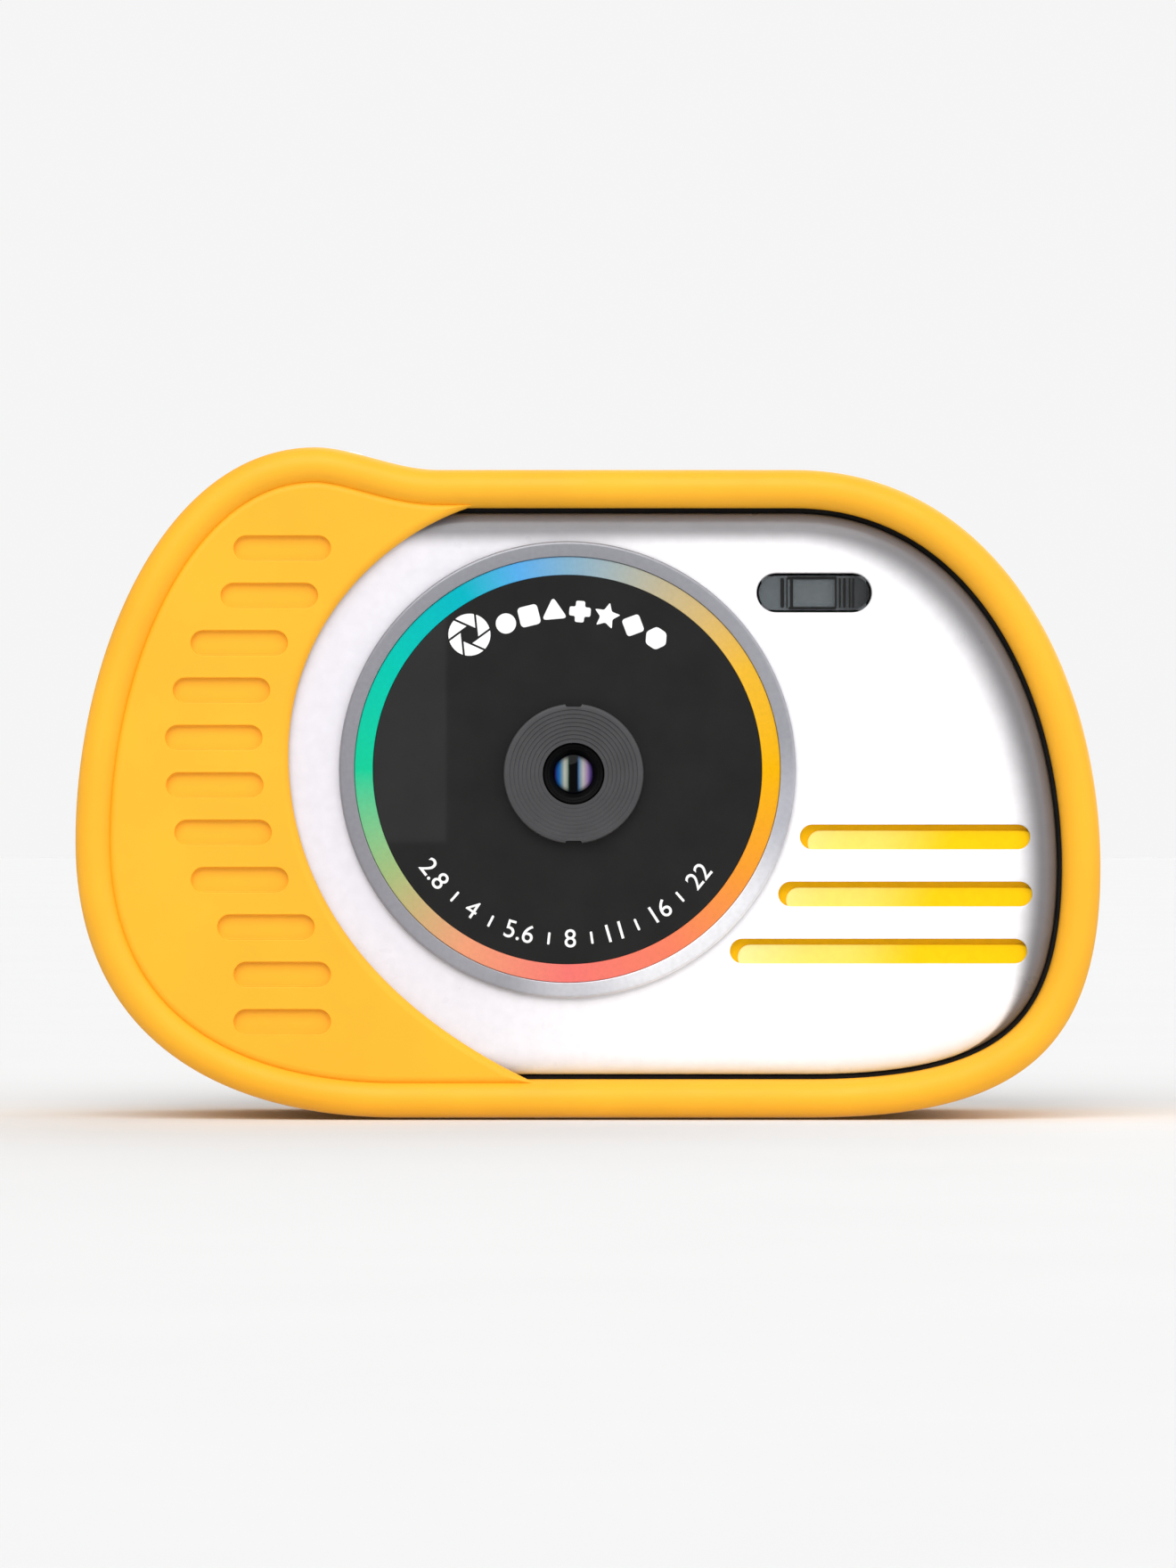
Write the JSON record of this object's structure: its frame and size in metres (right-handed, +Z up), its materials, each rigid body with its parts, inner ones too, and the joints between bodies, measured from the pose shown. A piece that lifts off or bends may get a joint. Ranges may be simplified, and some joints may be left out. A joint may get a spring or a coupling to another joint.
{
  "type": "kids digital camera",
  "caption": "Kids digital camera in a soft yellow case, with a ringed lens, flash window, rear screen and keys, top buttons and a hinged port door.",
  "frame": {"origin": "middle of the bottom of the bounding box", "axes": "X to the right as one looks at the front, the front faces -Y, Z up"},
  "size_m": [0.1, 0.032, 0.0655],
  "materials": {
    "yellow_silicone": "satin",
    "yellow_plastic": "gloss",
    "white_plastic": "satin gloss",
    "black_plastic": "satin",
    "grey_plastic": "satin",
    "silver_metal": "brushed",
    "ring_print": "printed in rainbow colours",
    "black_disc": "gloss",
    "lens_glass": "coated",
    "clear_window": "clear",
    "reflector": "bright",
    "led": "satin",
    "status_green": "clear green",
    "screen_glass": "gloss",
    "dark_rubber": "matt",
    "circuit_board": "satin",
    "chip_black": "matt",
    "steel": "bright",
    "battery_wrap": "satin",
    "red_wire": "satin"
  },
  "bodies": {
    "camera_body": {"silicone_case": "yellow_silicone", "front_plate": "white_plastic", "front_housing": "black_plastic", "lens_bezel": "silver_metal", "colour_ring": "ring_print", "lens_disc": "black_disc", "lens_hood": "grey_plastic", "lens_barrel": "black_plastic", "front_lens": "lens_glass", "inner_lens": "clear_window", "lens_holder": "black_plastic", "sensor_board": "circuit_board", "image_sensor": "chip_black", "sensor_screw_1": "steel", "sensor_screw_2": "steel", "flash_window": "clear_window", "flash_reflector": "reflector", "flash_led": "led", "stripe_insert": "yellow_plastic", "housing_gasket": "dark_rubber", "back_cover": "white_plastic", "screen_window": "screen_glass", "lcd_module": "chip_black", "main_board": "circuit_board", "processor_chip": "chip_black", "memory_chip": "chip_black", "battery": "battery_wrap", "battery_lead": "red_wire", "speaker": "chip_black", "microphone": "steel", "status_light": "status_green", "top_board": "circuit_board", "shutter_switch": "chip_black", "power_switch": "chip_black", "keypad_membrane": "dark_rubber", "door_hinge_pin": "steel", "port_board": "circuit_board", "usb_socket": "steel", "card_socket": "steel", "memory_card": "chip_black", "back_screw_1": "steel", "back_screw_2": "steel", "back_screw_3": "steel", "back_screw_4": "steel"},
    "shutter_button": {"shutter_button": "white_plastic"},
    "power_button": {"power_button": "white_plastic"},
    "port_door": {"port_door": "yellow_silicone", "door_seal": "dark_rubber"},
    "key_ok": {"key_ok": "yellow_silicone"},
    "key_up": {"key_up": "yellow_silicone"},
    "key_down": {"key_down": "yellow_silicone"},
    "key_left": {"key_left": "yellow_silicone"},
    "key_right": {"key_right": "yellow_silicone"},
    "key_mode": {"key_mode": "yellow_silicone"},
    "key_play": {"key_play": "yellow_silicone"}
  },
  "joints": [
    {"name": "shutter_press", "type": "slide", "parent": "camera_body", "child": "shutter_button", "axis": [0, 0, -1], "range_m": [0, 0.0009], "stiffness_N_per_m": 1200, "springref_m": -0.0004},
    {"name": "power_press", "type": "slide", "parent": "camera_body", "child": "power_button", "axis": [0, 0, -1], "range_m": [0, 0.0008], "stiffness_N_per_m": 1200, "springref_m": -0.0004},
    {"name": "key_ok_press", "type": "slide", "parent": "camera_body", "child": "key_ok", "axis": [0, -1, 0], "range_m": [0, 0.0006], "stiffness_N_per_m": 1200, "springref_m": -0.0004},
    {"name": "key_up_press", "type": "slide", "parent": "camera_body", "child": "key_up", "axis": [0, -1, 0], "range_m": [0, 0.0006], "stiffness_N_per_m": 1200, "springref_m": -0.0004},
    {"name": "key_down_press", "type": "slide", "parent": "camera_body", "child": "key_down", "axis": [0, -1, 0], "range_m": [0, 0.0006], "stiffness_N_per_m": 1200, "springref_m": -0.0004},
    {"name": "key_left_press", "type": "slide", "parent": "camera_body", "child": "key_left", "axis": [0, -1, 0], "range_m": [0, 0.0006], "stiffness_N_per_m": 1200, "springref_m": -0.0004},
    {"name": "key_right_press", "type": "slide", "parent": "camera_body", "child": "key_right", "axis": [0, -1, 0], "range_m": [0, 0.0006], "stiffness_N_per_m": 1200, "springref_m": -0.0004},
    {"name": "key_mode_press", "type": "slide", "parent": "camera_body", "child": "key_mode", "axis": [0, -1, 0], "range_m": [0, 0.0006], "stiffness_N_per_m": 1200, "springref_m": -0.0004},
    {"name": "key_play_press", "type": "slide", "parent": "camera_body", "child": "key_play", "axis": [0, -1, 0], "range_m": [0, 0.0006], "stiffness_N_per_m": 1200, "springref_m": -0.0004},
    {"name": "door_hinge", "type": "hinge", "parent": "camera_body", "child": "port_door", "pos_m": [0.04645, -0.0032, 0.0112], "axis": [0, 1, 0], "range_deg": [0, 110]}
  ]
}
